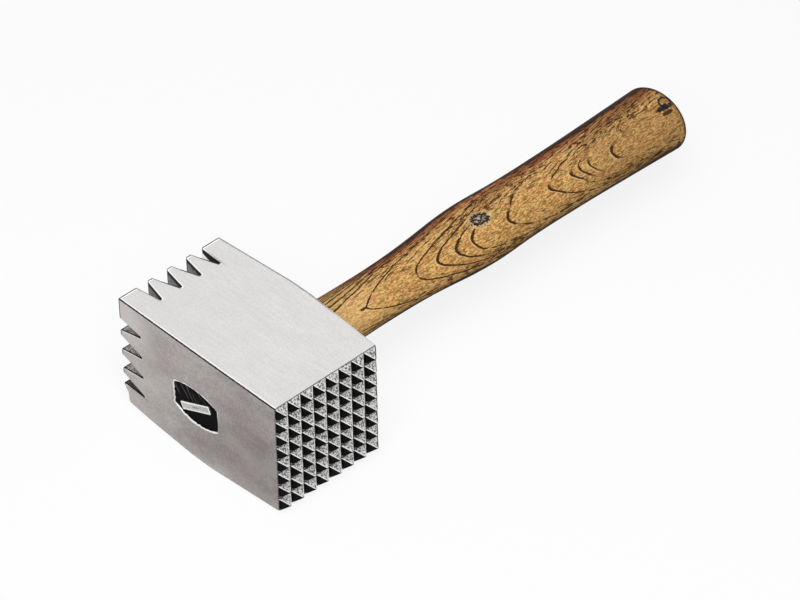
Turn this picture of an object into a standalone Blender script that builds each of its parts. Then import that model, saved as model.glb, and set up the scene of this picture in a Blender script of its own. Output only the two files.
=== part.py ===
"""Meat mallet: a cast block head with coarse and fine teeth, wedged onto an oval wooden handle.

Lengths are in metres. X runs along the head, from the coarse teeth at -X to the fine teeth at +X,
Y runs along the handle, from its wedged end to its butt, and Z is up. The origin is the middle of
the flat land that the head rests on, straight below the handle's axis.
"""

import math

import bmesh
import bpy
import numpy as np

# Fit between the pieces
CLEARANCE = 0.0003
OVERRUN = 0.002

# Head block: widest across a flat land at mid-length, tapering to both ends like any casting
# that has to leave its mould
COARSE_REACH = 0.0533
FINE_REACH = 0.0492
LAND_LENGTH = 0.013
MID_DEPTH = 0.063
MID_HEIGHT = 0.0642
END_DEPTH = 0.060
END_HEIGHT = 0.0603
EDGE_RADIUS = 0.0006
EDGE_SEGMENTS = 2

# Fine teeth: four-sided points in rows that fill the end face
FINE_TOOTH_HEIGHT = 0.0045
FINE_ROWS = 8

# Coarse teeth: what four deep grooves each way leave standing. A groove's first lip, its floor and
# its second lip lie at these shares of the end's size. Upright grooves are counted from the front
# face to the back, and level ones from the bottom face to the top.
GROOVE_DEPTH = 0.0148
GROOVE_FLOOR = 0.0008
UPRIGHT_GROOVE_SHARES = (
    (0.180, 0.212, 0.283), (0.335, 0.410, 0.471), (0.527, 0.603, 0.661), (0.717, 0.794, 0.818),
)
LEVEL_GROOVE_SHARES = (
    (0.172, 0.181, 0.272), (0.322, 0.370, 0.457), (0.508, 0.566, 0.645), (0.695, 0.768, 0.810),
)

# Eye: the hole through the head, with straight short ends and arched long sides
EYE_WIDTH = 0.0286
EYE_HEIGHT = 0.0198
EYE_END_HEIGHT = 0.0132
EYE_CHAMFER = 0.0006
EYE_ARCH_STEPS = 16
EYE_END_STEPS = 8

# Handle: an oval grip whose widths and thicknesses are given where they turn or bend, at shares of
# the grip's length from its shoulder to the start of its rounded butt
GRIP_LENGTH = 0.234
SHOULDER_OVERHANG = 0.001
SHOULDER_BLEND = 0.018
NECK_WIDTH, NECK_THICKNESS = 0.0289, 0.0208
THROAT_WIDTH, THROAT_THICKNESS = 0.0310, 0.0229
SWELL_WIDTH, SWELL_THICKNESS = 0.0358, 0.0278
PALM_WIDTH, PALM_THICKNESS = 0.0344, 0.0269
WAIST_WIDTH, WAIST_THICKNESS = 0.0340, 0.0268
BUTT_WIDTH, BUTT_THICKNESS = 0.0374, 0.0310
STATION_SHARES = (0.0, 0.192, 0.321, 0.468, 0.561, 0.685, 1.0)
GRIP_RINGS = 36
BUTT_DOME = 0.009
BUTT_RINGS = 9
BUTT_SWEEP = math.radians(86)
TENON_RECESS = 0.0008

# Wedge: driven into the handle's end along a line between two points, given as shares of half the
# eye's width and half its height
WEDGE_LINE_SHARES = ((-0.68, -0.55), (0.63, 0.29))
WEDGE_THICKNESS = 0.0038
WEDGE_TIP_THICKNESS = 0.0012
WEDGE_DEPTH = 0.022
WEDGE_PROUD = 0.0003
WEDGE_EDGE = 0.0002

# Places that follow from the sizes above, measured from the handle's axis at mid-head
AXIS_HEIGHT = MID_HEIGHT / 2
FACE_REACH = MID_DEPTH / 2
TENON_END = -FACE_REACH + TENON_RECESS
SHOULDER_REACH = FACE_REACH + CLEARANCE
BUTT_START = SHOULDER_REACH + GRIP_LENGTH - BUTT_DOME
WEDGE_TOP = -FACE_REACH - WEDGE_PROUD

# Material finishes: colour, roughness and metallic
ALUMINIUM = ("cast_aluminium", (0.62, 0.62, 0.63), 0.42, 1.0)
WOOD = ("oiled_wood", (0.46, 0.23, 0.07), 0.5, 0.0)
STEEL = ("bright_steel", (0.70, 0.70, 0.70), 0.35, 1.0)


def clear_objects():
    """Remove every object that the scene starts with."""
    for item in list(bpy.data.objects):
        bpy.data.objects.remove(item, do_unlink=True)


def make_collection(name):
    """Return a new collection linked to the scene."""
    group = bpy.data.collections.new(name)
    bpy.context.scene.collection.children.link(group)
    return group


def make_material(name, colour, roughness, metallic):
    """Return a Principled material of one plain finish."""
    finish = bpy.data.materials.new(name)
    finish.use_nodes = True
    shader = finish.node_tree.nodes["Principled BSDF"]
    shader.inputs["Base Color"].default_value = (*colour, 1.0)
    shader.inputs["Roughness"].default_value = roughness
    shader.inputs["Metallic"].default_value = metallic
    return finish


def place(name, mesh, group, parent, spot=(0, 0, 0), turn=(0, 0, 0)):
    """Add an object for the mesh, at a spot and a turn under its parent."""
    item = bpy.data.objects.new(name, mesh)
    group.objects.link(item)
    item.parent = parent
    item.location = spot
    item.rotation_euler = turn
    return item


def as_cutter(item):
    """Mark an object as one that only shapes others."""
    item.hide_render = True
    item.display_type = "WIRE"
    return item


def cut(item, cutter):
    """Take the cutter's shape out of the item."""
    step = item.modifiers.new(cutter.name, "BOOLEAN")
    step.operation = "DIFFERENCE"
    step.solver = "EXACT"
    step.object = cutter


def loft(name, rings):
    """Return a closed mesh through a stack of rings, which is an array of rings, points and x, y, z.

    Each ring joins the next point by point, and the first and last are capped.
    """
    count, around, _ = rings.shape
    here = np.arange(count * around).reshape(count, around)
    beside = np.roll(here, -1, axis=1)
    walls = np.stack([here[:-1], beside[:-1], beside[1:], here[1:]], axis=-1).reshape(-1, 4)
    faces = walls.tolist() + [here[0].tolist(), here[-1].tolist()]
    mesh = bpy.data.meshes.new(name)
    mesh.from_pydata(rings.reshape(-1, 3).tolist(), [], faces)
    shape = bmesh.new()
    shape.from_mesh(mesh)
    bmesh.ops.recalc_face_normals(shape, faces=shape.faces)
    shape.to_mesh(mesh)
    shape.free()
    return mesh


def shade_round(mesh, sharp_angle):
    """Shade a mesh smooth, and leave the edges past the sharp angle crisp."""
    mesh.shade_smooth()
    mesh.set_sharp_from_angle(angle=sharp_angle)


def extrude_outlines(name, outlines, half_length, group, parent, spot, turn=(0, 0, 0)):
    """Return a mesh object of flat outlines, thickened by half_length to both sides."""
    flat = bpy.data.curves.new(name, "CURVE")
    flat.dimensions = "2D"
    flat.fill_mode = "BOTH"
    flat.extrude = half_length
    for outline in outlines:
        line = flat.splines.new("POLY")
        line.points.add(len(outline) - 1)
        for point, (x, y) in zip(line.points, outline):
            point.co = (x, y, 0, 1)
        line.use_cyclic_u = True
    source = place(name + "_outline", flat, group, parent, spot, turn)
    bpy.context.view_layer.update()
    graph = bpy.context.evaluated_depsgraph_get()
    mesh = bpy.data.meshes.new_from_object(source.evaluated_get(graph))
    bpy.data.objects.remove(source, do_unlink=True)
    shape = bmesh.new()
    shape.from_mesh(mesh)
    bmesh.ops.remove_doubles(shape, verts=shape.verts, dist=CLEARANCE / 10)
    bmesh.ops.recalc_face_normals(shape, faces=shape.faces)
    shape.to_mesh(mesh)
    shape.free()
    return place(name, mesh, group, parent, spot, turn)


def eye_outline(outset):
    """Return the eye's outline as x and z, moved outwards by outset.

    Points run up the right end, back along the upper arch, down the left end and along the lower
    arch. An arch is part of a circle through both corners and the middle of the long side.
    """
    half_width = EYE_WIDTH / 2 + outset
    corner = EYE_END_HEIGHT / 2 + outset
    rise = (EYE_HEIGHT - EYE_END_HEIGHT) / 2
    radius = (half_width**2 + rise**2) / (2 * rise)
    sweep = math.asin(half_width / radius)
    ends = np.linspace(-corner, corner, EYE_END_STEPS, endpoint=False)
    right = np.stack([np.full(EYE_END_STEPS, half_width), ends], axis=1)
    angles = np.linspace(sweep, -sweep, EYE_ARCH_STEPS, endpoint=False)
    upper = np.stack([radius * np.sin(angles), corner + rise - radius * (1 - np.cos(angles))], axis=1)
    return np.concatenate([right, upper, -right, -upper])


def oval_outline(half_width, half_thickness):
    """Return an oval as x and z, with a point in the direction of each point of the eye's outline."""
    eye = eye_outline(0)
    angles = np.arctan2(eye[:, 1] / EYE_HEIGHT, eye[:, 0] / EYE_WIDTH)
    return np.stack([half_width * np.cos(angles), half_thickness * np.sin(angles)], axis=1)


def ring(outline, y):
    """Return an outline of x and z as a ring of points at one place along the handle."""
    return np.stack([outline[:, 0], np.full(len(outline), y), outline[:, 1]], axis=1)


def spline(places, values, wanted):
    """Return values at the wanted places, on the natural cubic spline through the given ones."""
    places = np.asarray(places)
    values = np.asarray(values)
    gaps = np.diff(places)
    slopes = np.diff(values) / gaps
    inner = len(places) - 2
    matrix = np.diag(2 * (gaps[:-1] + gaps[1:]))
    matrix += np.diag(gaps[1:-1], 1) + np.diag(gaps[1:-1], -1)
    bends = np.zeros(inner + 2)
    bends[1:-1] = np.linalg.solve(matrix, 6 * np.diff(slopes))
    span = np.clip(np.searchsorted(places, wanted, side="right") - 1, 0, inner)
    along = wanted - places[span]
    width = gaps[span]
    start = slopes[span] - width * (2 * bends[span] + bends[span + 1]) / 6
    cubic = (bends[span + 1] - bends[span]) / (6 * width)
    return values[span] + along * (start + along * (bends[span] / 2 + along * cubic))


def head_blank():
    """Return the block's mesh: tapered to both ends, long edges rounded, fine teeth raised."""
    shape = bmesh.new()
    bmesh.ops.create_cube(shape, size=1)
    bmesh.ops.scale(shape, vec=(COARSE_REACH + FINE_REACH, MID_DEPTH, MID_HEIGHT), verts=shape.verts)
    bmesh.ops.translate(shape, vec=((FINE_REACH - COARSE_REACH) / 2, 0, 0), verts=shape.verts)
    for x in (-LAND_LENGTH / 2, LAND_LENGTH / 2):
        parts = shape.verts[:] + shape.edges[:] + shape.faces[:]
        bmesh.ops.bisect_plane(shape, geom=parts, plane_co=(x, 0, 0), plane_no=(1, 0, 0))
    for corner in shape.verts:
        if abs(corner.co.x) > LAND_LENGTH / 2 + EDGE_RADIUS:
            corner.co.y *= END_DEPTH / MID_DEPTH
            corner.co.z *= END_HEIGHT / MID_HEIGHT
    long_edges = [edge for edge in shape.edges if edge_run(edge) > EDGE_RADIUS]
    coarse_rim = [edge for edge in shape.edges if edge_middle(edge) < EDGE_RADIUS - COARSE_REACH]
    bmesh.ops.bevel(
        shape,
        geom=long_edges + coarse_rim,
        offset=EDGE_RADIUS,
        segments=EDGE_SEGMENTS,
        profile=0.5,
        affect="EDGES",
    )
    raise_fine_teeth(shape)
    mesh = bpy.data.meshes.new("head_block")
    shape.to_mesh(mesh)
    shape.free()
    return mesh


def edge_run(edge):
    """Return how far an edge runs along the head."""
    return abs(edge.verts[0].co.x - edge.verts[1].co.x)


def edge_middle(edge):
    """Return where along the head the middle of an edge lies."""
    return (edge.verts[0].co.x + edge.verts[1].co.x) / 2


def fine_faces(shape):
    """Return the faces of the block's fine end."""
    return [face for face in shape.faces if face.calc_center_median().x > FINE_REACH - EDGE_RADIUS / 2]


def raise_fine_teeth(shape):
    """Divide the fine end into square cells and raise a four-sided point on each."""
    for normal, size in (((0, 1, 0), END_DEPTH), ((0, 0, 1), END_HEIGHT)):
        for row in range(1, FINE_ROWS):
            across = size * (row / FINE_ROWS - 1 / 2)
            faces = fine_faces(shape)
            edges = {edge for face in faces for edge in face.edges}
            corners = {corner for face in faces for corner in face.verts}
            bmesh.ops.bisect_plane(
                shape,
                geom=list(corners) + list(edges) + faces,
                plane_co=tuple(across * axis for axis in normal),
                plane_no=normal,
            )
    bmesh.ops.poke(
        shape,
        faces=fine_faces(shape),
        offset=FINE_TOOTH_HEIGHT,
        center_mode="BOUNDS",
        use_relative_offset=False,
    )


def groove_outlines(groove_shares, size):
    """Return the grooves across an end of this size, as outlines of x and place across the end."""
    outlines = []
    for groove in groove_shares:
        first, floor, second = ((share - 1 / 2) * size for share in groove)
        outlines.append([
            (-COARSE_REACH - OVERRUN, first),
            (-COARSE_REACH, first),
            (-COARSE_REACH + GROOVE_DEPTH, floor - GROOVE_FLOOR / 2),
            (-COARSE_REACH + GROOVE_DEPTH, floor + GROOVE_FLOOR / 2),
            (-COARSE_REACH, second),
            (-COARSE_REACH - OVERRUN, second),
        ])
    return outlines


def make_head(group, cutters, parent, spot):
    """Make the head: the toothed block, grooved at its coarse end, with the eye through it."""
    head = place("head_block", head_blank(), group, parent, spot)
    outlines = groove_outlines(UPRIGHT_GROOVE_SHARES, END_DEPTH)
    upright = extrude_outlines("upright_grooves", outlines, AXIS_HEIGHT + OVERRUN, cutters, parent, spot)
    outlines = groove_outlines(LEVEL_GROOVE_SHARES, END_HEIGHT)
    turn = (math.pi / 2, 0, 0)
    level = extrude_outlines("level_grooves", outlines, FACE_REACH + OVERRUN, cutters, parent, spot, turn)
    mouth = ring(eye_outline(EYE_CHAMFER), FACE_REACH)
    mouth_outside = ring(eye_outline(EYE_CHAMFER), FACE_REACH + OVERRUN)
    throat = ring(eye_outline(0), FACE_REACH - EYE_CHAMFER)
    front = [row * (1, -1, 1) for row in (mouth_outside, mouth, throat)]
    eye_mesh = loft("eye", np.stack([*front, throat, mouth, mouth_outside]))
    shade_round(eye_mesh, math.radians(25))
    eye = place("eye", eye_mesh, cutters, parent, spot)
    for cutter in (upright, level, eye):
        cut(head, as_cutter(cutter))
    return head


def handle_rings():
    """Return the handle's rings, from its end inside the eye to its butt.

    The tenon keeps the eye's outline less the clearance. Past the shoulder the section turns from
    the eye's outline into an oval, and the grip's oval follows a spline through its stations. The
    butt is half of a flattened ball, cut off just short of its pole.
    """
    shoulder_outline = eye_outline(SHOULDER_OVERHANG)
    shoulder_size = (EYE_WIDTH + 2 * SHOULDER_OVERHANG, EYE_HEIGHT + 2 * SHOULDER_OVERHANG)
    widths = (shoulder_size[0], NECK_WIDTH, THROAT_WIDTH, SWELL_WIDTH, PALM_WIDTH, WAIST_WIDTH, BUTT_WIDTH)
    thicknesses = (
        shoulder_size[1], NECK_THICKNESS, THROAT_THICKNESS, SWELL_THICKNESS, PALM_THICKNESS,
        WAIST_THICKNESS, BUTT_THICKNESS,
    )
    shares = np.linspace(0, 1, GRIP_RINGS)
    half_widths = spline(STATION_SHARES, widths, shares) / 2
    half_thicknesses = spline(STATION_SHARES, thicknesses, shares) / 2
    tenon = eye_outline(-CLEARANCE)
    rings = [ring(tenon, TENON_END), ring(tenon, SHOULDER_REACH)]
    for share, half_width, half_thickness in zip(shares, half_widths, half_thicknesses):
        run = share * (BUTT_START - SHOULDER_REACH)
        blend = min(run / SHOULDER_BLEND, 1)
        blend = blend * blend * (3 - 2 * blend)
        outline = (1 - blend) * shoulder_outline + blend * oval_outline(half_width, half_thickness)
        rings.append(ring(outline, SHOULDER_REACH + run))
    butt = oval_outline(BUTT_WIDTH / 2, BUTT_THICKNESS / 2)
    for turn in np.linspace(0, BUTT_SWEEP, BUTT_RINGS + 1)[1:]:
        rings.append(ring(math.cos(turn) * butt, BUTT_START + math.sin(turn) * BUTT_DOME))
    return np.stack(rings)


def make_handle(group, cutters, parent, spot):
    """Make the handle: a tenon through the eye, a shoulder against the head and an oval grip."""
    mesh = loft("wooden_handle", handle_rings())
    shade_round(mesh, math.radians(35))
    handle = place("wooden_handle", mesh, group, parent, spot)
    slot = place_wedge("wedge_slot", CLEARANCE, cutters, parent, spot)
    cut(handle, as_cutter(slot))
    return handle


def place_wedge(name, grow, group, parent, spot):
    """Place a wedge in the handle's end, thickened and lengthened all round by grow."""
    ends = [
        (across * EYE_WIDTH / 2, up * EYE_HEIGHT / 2)
        for across, up in WEDGE_LINE_SHARES
    ]
    (x0, z0), (x1, z1) = ends
    width = math.hypot(x1 - x0, z1 - z0)
    shape = bmesh.new()
    bmesh.ops.create_cube(shape, size=1)
    for corner in shape.verts:
        driven = corner.co.y > 0
        thickness = WEDGE_TIP_THICKNESS if driven else WEDGE_THICKNESS
        corner.co.x *= width + 2 * grow
        corner.co.y = WEDGE_DEPTH + grow if driven else 0
        corner.co.z *= thickness + 2 * grow
    mesh = bpy.data.meshes.new(name)
    shape.to_mesh(mesh)
    shape.free()
    middle = (spot[0] + (x0 + x1) / 2, spot[1] + WEDGE_TOP, spot[2] + (z0 + z1) / 2)
    return place(name, mesh, group, parent, middle, (0, -math.atan2(z1 - z0, x1 - x0), 0))


def make_wedge(group, parent, spot):
    """Make the flat metal wedge that spreads the handle's end in the eye."""
    wedge = place_wedge("metal_wedge", 0, group, parent, spot)
    rim = wedge.modifiers.new("rim", "BEVEL")
    rim.width = WEDGE_EDGE
    rim.segments = 1
    return wedge


def build():
    """Build the whole mallet."""
    clear_objects()
    group = make_collection("meat_mallet")
    cutters = make_collection("cutters")
    mallet = place("mallet", None, group, None)
    spot = (0, 0, AXIS_HEIGHT)
    head = make_head(group, cutters, mallet, spot)
    handle = make_handle(group, cutters, mallet, spot)
    wedge = make_wedge(group, mallet, spot)
    for item, finish in ((head, ALUMINIUM), (handle, WOOD), (wedge, STEEL)):
        item.data.materials.append(make_material(*finish))


build()
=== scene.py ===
# %% [markdown]
# # A meat mallet, dressed for its picture
# The mallet is three separate pieces: a cast aluminium block with coarse teeth at one end and fine
# points at the other, a wooden handle that passes through an eye in the block, and a flat metal
# wedge that spreads the wood in the eye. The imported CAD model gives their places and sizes. This
# lesson loads it as a fixed frame and builds a finer skin for each piece on the same spot.

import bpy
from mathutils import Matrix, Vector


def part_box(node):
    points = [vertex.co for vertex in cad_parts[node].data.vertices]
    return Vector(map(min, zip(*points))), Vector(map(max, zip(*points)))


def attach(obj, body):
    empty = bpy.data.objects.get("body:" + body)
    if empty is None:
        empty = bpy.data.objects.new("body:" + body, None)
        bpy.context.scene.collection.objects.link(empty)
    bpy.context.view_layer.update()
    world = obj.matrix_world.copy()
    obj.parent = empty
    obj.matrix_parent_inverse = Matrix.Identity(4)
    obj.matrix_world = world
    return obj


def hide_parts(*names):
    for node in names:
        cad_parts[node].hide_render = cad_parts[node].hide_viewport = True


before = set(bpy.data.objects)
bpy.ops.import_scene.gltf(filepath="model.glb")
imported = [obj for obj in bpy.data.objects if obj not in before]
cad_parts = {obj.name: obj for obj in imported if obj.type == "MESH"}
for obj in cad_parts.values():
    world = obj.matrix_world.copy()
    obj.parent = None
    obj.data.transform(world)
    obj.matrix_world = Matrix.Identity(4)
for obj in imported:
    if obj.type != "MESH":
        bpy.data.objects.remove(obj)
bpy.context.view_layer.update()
print("CAD nodes:", ", ".join(sorted(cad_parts)))

# %% The tools of this lesson
import math
from functools import partialmethod

import bmesh
import bpy
import numpy as np
from mathutils import Matrix

MM = 0.001
HAIR = MM / 1000


def add_object(name, data):
    """Return a new object in the scene that shows this mesh, lamp or camera."""
    made = bpy.data.objects.new(name, data)
    bpy.context.scene.collection.objects.link(made)
    return made


# %% [markdown]
# ## Camera
# The mallet is seen from its front right, from well above. The lens is long, so parallel edges
# stay almost parallel. Three angles turn the camera: azimuth round the mallet, elevation above the
# floor, and a small roll. They could be set by eye, but here they were solved from the block's
# corners, because a long lens shows a wrong angle at once.

# %% Place the camera
PHOTO_WIDTH = 800
FOCAL_PIXELS = 4614.15
SENSOR_WIDTH = 36
CAMERA_SPOT = (1.161662, -0.987917, 1.396659)
AZIMUTH, ELEVATION, ROLL = (math.radians(angle) for angle in (47.124, 40.961, -1.1232))


def camera_axes(azimuth, elevation, roll):
    """Return the camera's right, up and back directions.

    Back points from the mallet to the camera: azimuth turns it round Z from -Y, and elevation
    lifts it. Right is level, up completes the set, and roll then turns both about back.
    """
    back = np.array([
        math.sin(azimuth) * math.cos(elevation),
        -math.cos(azimuth) * math.cos(elevation),
        math.sin(elevation),
    ])
    level = np.array([math.cos(azimuth), math.sin(azimuth), 0])
    above = np.cross(back, level)
    right = math.cos(roll) * level + math.sin(roll) * above
    up = math.cos(roll) * above - math.sin(roll) * level
    return right, up, back


camera_data = bpy.data.cameras.new("camera")
camera_data.sensor_width = SENSOR_WIDTH
camera_data.lens = FOCAL_PIXELS / PHOTO_WIDTH * SENSOR_WIDTH
camera_data.clip_end = 100
camera = add_object("camera", camera_data)
right, up, back = camera_axes(AZIMUTH, ELEVATION, ROLL)
turn = Matrix(np.stack([right, up, back], axis=1).tolist()).to_4x4()
camera.matrix_world = Matrix.Translation(CAMERA_SPOT) @ turn
bpy.context.scene.camera = camera
print(f"Lens: {camera_data.lens:.1f} mm")

# %% [markdown]
# ## Surfaces from grids
# Every skin here is made of grids: arrays of points in rows and columns, with two triangles between
# each four neighbours. Blender's own cube or cylinder would be quicker to add, but a grid puts its
# lines exactly where an edge or a groove needs them, and whole arrays are fast.


# %% Turn grids into triangles and triangles into a mesh
def xyz(x, y, z):
    """Return points as one array, from arrays of x, y and z."""
    return np.stack(np.broadcast_arrays(x, y, z), axis=-1)


def grid_triangles(numbers, rising=True):
    """Return two triangles for each four neighbours in a grid of point numbers.

    The quad with corners (i, j), (i + 1, j), (i + 1, j + 1) and (i, j + 1) is split from its first
    corner to its third where rising is true, and from its second to its fourth elsewhere.
    """
    a, b = numbers[:-1, :-1], numbers[1:, :-1]
    c, d = numbers[1:, 1:], numbers[:-1, 1:]
    split = np.broadcast_to(rising, a.shape)[..., None]
    first = np.where(split, np.stack([a, b, c], -1), np.stack([a, b, d], -1))
    second = np.where(split, np.stack([a, c, d], -1), np.stack([b, c, d], -1))
    return np.concatenate([first.reshape(-1, 3), second.reshape(-1, 3)])


def zipper(along_a, numbers_a, along_b, numbers_b):
    """Return triangles that close the strip between two rows of points.

    Both rows are walked at once. Each step moves on in the row whose next point comes first, and
    leaves a triangle of the step and the other row's present point.
    """
    steps = np.concatenate([along_a[1:], along_b[1:]])
    order = np.argsort(steps, kind="stable")
    in_a = (np.arange(len(steps)) < len(along_a) - 1)[order]
    at_a, at_b = np.cumsum(in_a), np.cumsum(~in_a)
    step_a = np.stack([numbers_a[at_a - in_a], numbers_a[at_a], numbers_b[at_b]], -1)
    step_b = np.stack([numbers_a[at_a], numbers_b[at_b], numbers_b[at_b - ~in_a]], -1)
    return np.where(in_a[:, None], step_a, step_b)


def welded_mesh(name, points, triangles, weld=0.002 * MM):
    """Return a closed mesh of the triangles, its doubled points merged and its faces outwards."""
    mesh = bpy.data.meshes.new(name)
    mesh.from_pydata(points.tolist(), [], triangles.tolist())
    shape = bmesh.new()
    shape.from_mesh(mesh)
    bmesh.ops.remove_doubles(shape, verts=shape.verts, dist=weld)
    bmesh.ops.recalc_face_normals(shape, faces=shape.faces)
    shape.to_mesh(mesh)
    loose = sum(not edge.is_manifold for edge in shape.edges)
    shape.free()
    mesh.shade_smooth()
    print(f"{name}: {len(mesh.vertices)} points, {len(mesh.polygons)} faces, {loose} open edges")
    return mesh


def mesh_points(mesh):
    """Return a mesh's points as an array."""
    flat = np.empty(len(mesh.vertices) * 3, np.float32)
    mesh.vertices.foreach_get("co", flat)
    return flat.reshape(-1, 3).astype(float)


def store(mesh, **layers):
    """Keep numbers for each point in the mesh, under names by which a material can read them."""
    for name, values in layers.items():
        layer = mesh.attributes.new(name, "FLOAT", "POINT")
        layer.data.foreach_set("value", values.astype(np.float32))


def add_piece(name, mesh, node, finish):
    """Add a piece that stands for a CAD node and moves with the mallet."""
    piece = add_object(name, mesh)
    mesh.materials.append(finish)
    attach(piece, "root")
    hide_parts(node)


# %% [markdown]
# ## Smooth randomness
# Nothing cast or carved is perfectly even. Value noise gives gentle unevenness that is the same at
# every run: each corner of a lattice gets a number that looks random, and the space between is
# blended.


# %% Value noise on whole arrays
def noise(points, size, seed=0):
    """Return smooth noise from -1 to 1 at points, with features of about the given size.

    Corners of a cubic lattice get the fraction of a large sine, which looks random. Inside a cell
    the eight corners are blended with the weights 3t^2 - 2t^3 along each axis.
    """
    places = np.asarray(points) / size
    cell = np.floor(places)
    share = places - cell
    share = share * share * (3 - 2 * share)
    total = np.zeros(places.shape[:-1])
    for corner in np.ndindex(2, 2, 2):
        spot = cell + corner
        code = spot @ np.array([127.1, 311.7, 74.7]) + seed * 53.9
        value = np.modf(np.abs(np.sin(code) * 43758.5453))[0]
        weight = np.where(np.array(corner) == 1, share, 1 - share).prod(axis=-1)
        total += weight * value
    return 2 * total - 1


def ramp(values, start, span):
    """Return 0 up to start, 1 from a span further on, and an even rise between."""
    return np.clip((values - start) / span, 0, 1)


# %% [markdown]
# ## Head: sizes
# The head is one casting. It is widest across a flat land at mid-length and tapers to both ends, so
# that it would leave its mould. Four deep grooves each way stand the coarse teeth free at one end,
# and eight rows of points cover the other. These are the CAD model's own sizes.

# %% Sizes of the head
COARSE_REACH, FINE_REACH = 53.3 * MM, 49.2 * MM
LAND_LENGTH = 13 * MM
MID_DEPTH, MID_HEIGHT = 63 * MM, 64.2 * MM
END_DEPTH, END_HEIGHT = 60 * MM, 60.3 * MM
DEPTHS, HEIGHTS = (MID_DEPTH, END_DEPTH), (MID_HEIGHT, END_HEIGHT)
AXIS_HEIGHT = MID_HEIGHT / 2
POINT_HEIGHT = 4.5 * MM
POINT_ROWS = 8
GROOVE_DEPTH, GROOVE_FLOOR = 14.8 * MM, 0.8 * MM
UPRIGHT_GROOVES = (
    (0.180, 0.212, 0.283), (0.335, 0.410, 0.471), (0.527, 0.603, 0.661), (0.717, 0.794, 0.818),
)
LEVEL_GROOVES = (
    (0.172, 0.181, 0.272), (0.322, 0.370, 0.457), (0.508, 0.566, 0.645), (0.695, 0.768, 0.810),
)
EYE_WIDTH, EYE_HEIGHT, EYE_END_HEIGHT = 28.2 * MM, 19.4 * MM, 12.2 * MM
EYE_CHAMFER = 0.5 * MM
EYE_LEAN = np.array([-2.3, 0, -1.0]) * MM


def half_size(x, sizes):
    """Return half the depth or height at x: level over the land, then straight to the end."""
    middle, end = sizes
    reach = np.where(x < 0, COARSE_REACH, FINE_REACH)
    share = np.clip((np.abs(x) - LAND_LENGTH / 2) / (reach - LAND_LENGTH / 2), 0, None)
    return (middle + (end - middle) * share) / 2


coarse_depth = 2 * float(half_size(-COARSE_REACH, DEPTHS))
print(f"Depth at the coarse end: {coarse_depth / MM:.1f} mm")

# %% [markdown]
# ## Head: rounding by distance
# A real casting has no sharp edge: lips, corners and groove floors are all a little round. The
# Bevel modifier could round them, but it struggles where many edges meet, as at these teeth. So the
# head is also written as one formula that says how far a point is outside the metal. Where two
# faces meet, the larger of their distances is blended with the other, and that blend is a rounded
# edge. Points laid on the sharp head are then pulled onto the rounded one.

# %% Blends, and one groove as a formula
EDGE_ROUND = 0.65 * MM
TOOTH_ROUND = 1.6 * MM
FLOOR_ROUND = 1.0 * MM
EYE_ROUND = 0.2 * MM
LOW_ROUND, LOW_START, LOW_SPAN = 5.0 * MM, 20 * MM, 6 * MM
CREASE_ROUND = 0.45 * MM
TIP_BLUNT, VALLEY_BLUNT = 0.5 * MM, 0.3 * MM


def soft_max(a, b, width):
    """Return the larger of a and b, raised by up to a quarter of width where they are close.

    The rise is width * (1 - |a - b| / width)^2 / 4.
    """
    near = np.clip(1 - np.abs(a - b) / width, 0, None)
    return np.maximum(a, b) + width * near**2 / 4


def soft_abs(a, width):
    """Return |a|, with its corner replaced by the parabola (a^2 + width^2) / (2 width)."""
    return np.where(np.abs(a) < width, (a * a + width * width) / (2 * width), np.abs(a))


def groove_distance(x, across, shares, size, width):
    """Return how deep a point is in a groove: the least distance to its two walls and floor."""
    first, floor, second = ((share - 0.5) * size for share in shares)
    down = x + COARSE_REACH
    run_a = floor - GROOVE_FLOOR / 2 - first
    run_b = second - floor - GROOVE_FLOOR / 2
    wall_a = ((across - first) * GROOVE_DEPTH - down * run_a) / math.hypot(run_a, GROOVE_DEPTH)
    wall_b = ((second - across) * GROOVE_DEPTH - down * run_b) / math.hypot(run_b, GROOVE_DEPTH)
    walls = -soft_max(-wall_a, -wall_b, width)
    return -soft_max(-walls, -(GROOVE_DEPTH - down), width)


# %% The fine points as a height above their base
POINT_HEIGHT_CHANGES = np.random.default_rng(4).uniform(-0.07, 0.02, (POINT_ROWS, POINT_ROWS))


def ridge_height(across, size, tip, valley):
    """Return the height of long ridges, one for each row: slope times distance from the valley."""
    cell = size / POINT_ROWS
    from_top = (across / cell) % 1 * cell - cell / 2
    from_valley = cell / 2 - soft_abs(from_top, tip)
    return POINT_HEIGHT / (cell / 2) * soft_abs(from_valley, valley)


def point_height(y, z, rounded=1.0):
    """Return the height of the points: the lesser of ridges along z and ridges along y.

    Each point is scaled by its own small change, and the rows waver a little, as castings do.
    """
    spots = xyz(y, z, 0)
    y = y + 0.1 * MM * noise(spots, 7 * MM, 1)
    z = z + 0.1 * MM * noise(spots, 7 * MM, 2)
    tip, valley = rounded * TIP_BLUNT + HAIR, rounded * VALLEY_BLUNT + HAIR
    upright = ridge_height(y, END_DEPTH, tip, valley)
    level = ridge_height(z, END_HEIGHT, tip, valley)
    height = -soft_max(-upright, -level, rounded * CREASE_ROUND + HAIR)
    places = (np.stack([y / END_DEPTH, z / END_HEIGHT]) + 0.5) * POINT_ROWS
    row, column = np.clip(places, 0, POINT_ROWS - 1).astype(int)
    return height * (1 + POINT_HEIGHT_CHANGES[row, column])


# %% The whole head as a distance
def eye_arch(outset):
    """Return half the eye's width, half its end's height, and its long sides' rise and radius."""
    half_width, corner = EYE_WIDTH / 2 + outset, EYE_END_HEIGHT / 2 + outset
    rise = (EYE_HEIGHT - EYE_END_HEIGHT) / 2
    return half_width, corner, rise, (half_width**2 + rise**2) / (2 * rise)


def lean(points):
    """Return how far the eye is off its middle: none in the back half, all at the front."""
    return ramp(-points[..., 1:2], 0, END_DEPTH / 2) * EYE_LEAN


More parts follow.
